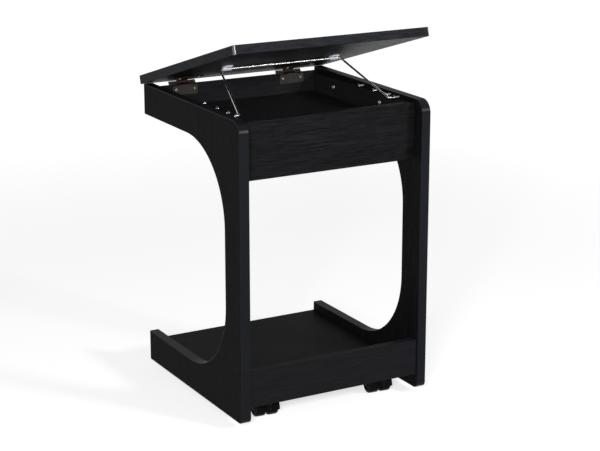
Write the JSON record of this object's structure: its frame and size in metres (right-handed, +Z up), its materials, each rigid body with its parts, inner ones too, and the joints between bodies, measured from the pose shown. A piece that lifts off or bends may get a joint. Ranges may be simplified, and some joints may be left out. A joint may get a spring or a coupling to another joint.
{
  "type": "lift top end table",
  "caption": "C-sided end table on swivel casters whose hinged lid opens a shallow storage box and is propped at an angle by a wire stay.",
  "frame": {"origin": "on the floor under the middle of the table's box, with the lid propped", "axes": "+X towards the right side panel, +Y from the front posts to the open rear where the lid is hinged, +Z up"},
  "size_m": [0.406, 0.4225, 0.7165],
  "materials": {
    "wood_grain_laminate": "black wood-grain laminate on particle board, semi-gloss",
    "edge_banding": "smooth black edge strip, satin",
    "hinge_steel": "bronze-toned plated steel, satin",
    "plated_steel": "bright zinc plate",
    "zinc_casting": "plain zinc casting",
    "bright_wire": "chrome plate",
    "white_plastic": "white moulded plastic",
    "caster_plastic": "black moulded nylon, satin",
    "beech": "plain beech"
  },
  "bodies": {
    "frame": {"left_side_panel": "wood_grain_laminate", "right_side_panel": "wood_grain_laminate", "box_front_panel": "wood_grain_laminate", "box_back_panel": "wood_grain_laminate", "box_bottom": "wood_grain_laminate", "box_left_side": "wood_grain_laminate", "box_right_side": "wood_grain_laminate", "shelf_panel": "wood_grain_laminate", "shelf_front_rail": "wood_grain_laminate", "left_side_edging": "edge_banding", "right_side_edging": "edge_banding", "box_side_screws": "plated_steel", "box_bottom_screws": "plated_steel", "cam_bolts": "plated_steel", "hinge_pins": "plated_steel", "hinge_box_screws": "plated_steel", "caster_screws": "plated_steel", "left_stay_pegs": "plated_steel", "right_stay_pegs": "plated_steel", "cam_locks": "zinc_casting", "wood_dowels": "beech", "left_hinge_box_leaf": "hinge_steel", "right_hinge_box_leaf": "hinge_steel", "front_left_caster_plate": "plated_steel", "front_left_caster_stem": "plated_steel", "front_right_caster_plate": "plated_steel", "front_right_caster_stem": "plated_steel", "rear_left_caster_plate": "plated_steel", "rear_left_caster_stem": "plated_steel", "rear_right_caster_plate": "plated_steel", "rear_right_caster_stem": "plated_steel"},
    "lid": {"lid_panel": "wood_grain_laminate", "lid_edging": "edge_banding", "left_hinge_lid_leaf": "hinge_steel", "right_hinge_lid_leaf": "hinge_steel", "hinge_lid_screws": "plated_steel", "left_stay_clip": "white_plastic", "right_stay_clip": "white_plastic", "stay_clip_screws": "plated_steel"},
    "stay": {"stay_wire": "bright_wire"},
    "front_left_caster": {"front_left_caster_hood": "caster_plastic", "front_left_caster_axle": "plated_steel"},
    "front_left_caster_left_wheel": {"front_left_caster_left_wheel": "caster_plastic"},
    "front_left_caster_right_wheel": {"front_left_caster_right_wheel": "caster_plastic"},
    "front_right_caster": {"front_right_caster_hood": "caster_plastic", "front_right_caster_axle": "plated_steel"},
    "front_right_caster_left_wheel": {"front_right_caster_left_wheel": "caster_plastic"},
    "front_right_caster_right_wheel": {"front_right_caster_right_wheel": "caster_plastic"},
    "rear_left_caster": {"rear_left_caster_hood": "caster_plastic", "rear_left_caster_axle": "plated_steel"},
    "rear_left_caster_left_wheel": {"rear_left_caster_left_wheel": "caster_plastic"},
    "rear_left_caster_right_wheel": {"rear_left_caster_right_wheel": "caster_plastic"},
    "rear_right_caster": {"rear_right_caster_hood": "caster_plastic", "rear_right_caster_axle": "plated_steel"},
    "rear_right_caster_left_wheel": {"rear_right_caster_left_wheel": "caster_plastic"},
    "rear_right_caster_right_wheel": {"rear_right_caster_right_wheel": "caster_plastic"}
  },
  "joints": [
    {"name": "lid_hinge", "type": "hinge", "parent": "frame", "child": "lid", "pos_m": [0, 0.19317, 0.5775], "axis": [-1, 0, 0], "range_deg": [-16.7, 27]},
    {"name": "stay_pivot", "type": "hinge", "parent": "lid", "child": "stay", "pos_m": [0, 0.00194, 0.63435], "axis": [1, 0, 0], "range_deg": [-41, 67]},
    {"name": "front_left_caster_swivel", "type": "hinge", "parent": "frame", "child": "front_left_caster", "pos_m": [-0.1245, -0.16833, 0.034], "axis": [0, 0, 1], "continuous": true},
    {"name": "front_left_caster_left_wheel_roll", "type": "hinge", "parent": "front_left_caster", "child": "front_left_caster_left_wheel", "pos_m": [-0.12328, -0.15438, 0.016], "axis": [-0.9962, 0.0872, 0], "continuous": true},
    {"name": "front_left_caster_right_wheel_roll", "type": "hinge", "parent": "front_left_caster", "child": "front_left_caster_right_wheel", "pos_m": [-0.12328, -0.15438, 0.016], "axis": [-0.9962, 0.0872, 0], "continuous": true},
    {"name": "front_right_caster_swivel", "type": "hinge", "parent": "frame", "child": "front_right_caster", "pos_m": [0.1245, -0.16833, 0.034], "axis": [0, 0, 1], "continuous": true},
    {"name": "front_right_caster_left_wheel_roll", "type": "hinge", "parent": "front_right_caster", "child": "front_right_caster_left_wheel", "pos_m": [0.12572, -0.15438, 0.016], "axis": [-0.9962, 0.0872, 0], "continuous": true},
    {"name": "front_right_caster_right_wheel_roll", "type": "hinge", "parent": "front_right_caster", "child": "front_right_caster_right_wheel", "pos_m": [0.12572, -0.15438, 0.016], "axis": [-0.9962, 0.0872, 0], "continuous": true},
    {"name": "rear_left_caster_swivel", "type": "hinge", "parent": "frame", "child": "rear_left_caster", "pos_m": [-0.1245, 0.12967, 0.034], "axis": [0, 0, 1], "continuous": true},
    {"name": "rear_left_caster_left_wheel_roll", "type": "hinge", "parent": "rear_left_caster", "child": "rear_left_caster_left_wheel", "pos_m": [-0.12328, 0.14362, 0.016], "axis": [-0.9962, 0.0872, 0], "continuous": true},
    {"name": "rear_left_caster_right_wheel_roll", "type": "hinge", "parent": "rear_left_caster", "child": "rear_left_caster_right_wheel", "pos_m": [-0.12328, 0.14362, 0.016], "axis": [-0.9962, 0.0872, 0], "continuous": true},
    {"name": "rear_right_caster_swivel", "type": "hinge", "parent": "frame", "child": "rear_right_caster", "pos_m": [0.1245, 0.12967, 0.034], "axis": [0, 0, 1], "continuous": true},
    {"name": "rear_right_caster_left_wheel_roll", "type": "hinge", "parent": "rear_right_caster", "child": "rear_right_caster_left_wheel", "pos_m": [0.12572, 0.14362, 0.016], "axis": [-0.9962, 0.0872, 0], "continuous": true},
    {"name": "rear_right_caster_right_wheel_roll", "type": "hinge", "parent": "rear_right_caster", "child": "rear_right_caster_right_wheel", "pos_m": [0.12572, 0.14362, 0.016], "axis": [-0.9962, 0.0872, 0], "continuous": true}
  ],
  "couplings": [
    {"joint": "stay_pivot", "follows": "lid_hinge", "ratio": 2.45}
  ]
}
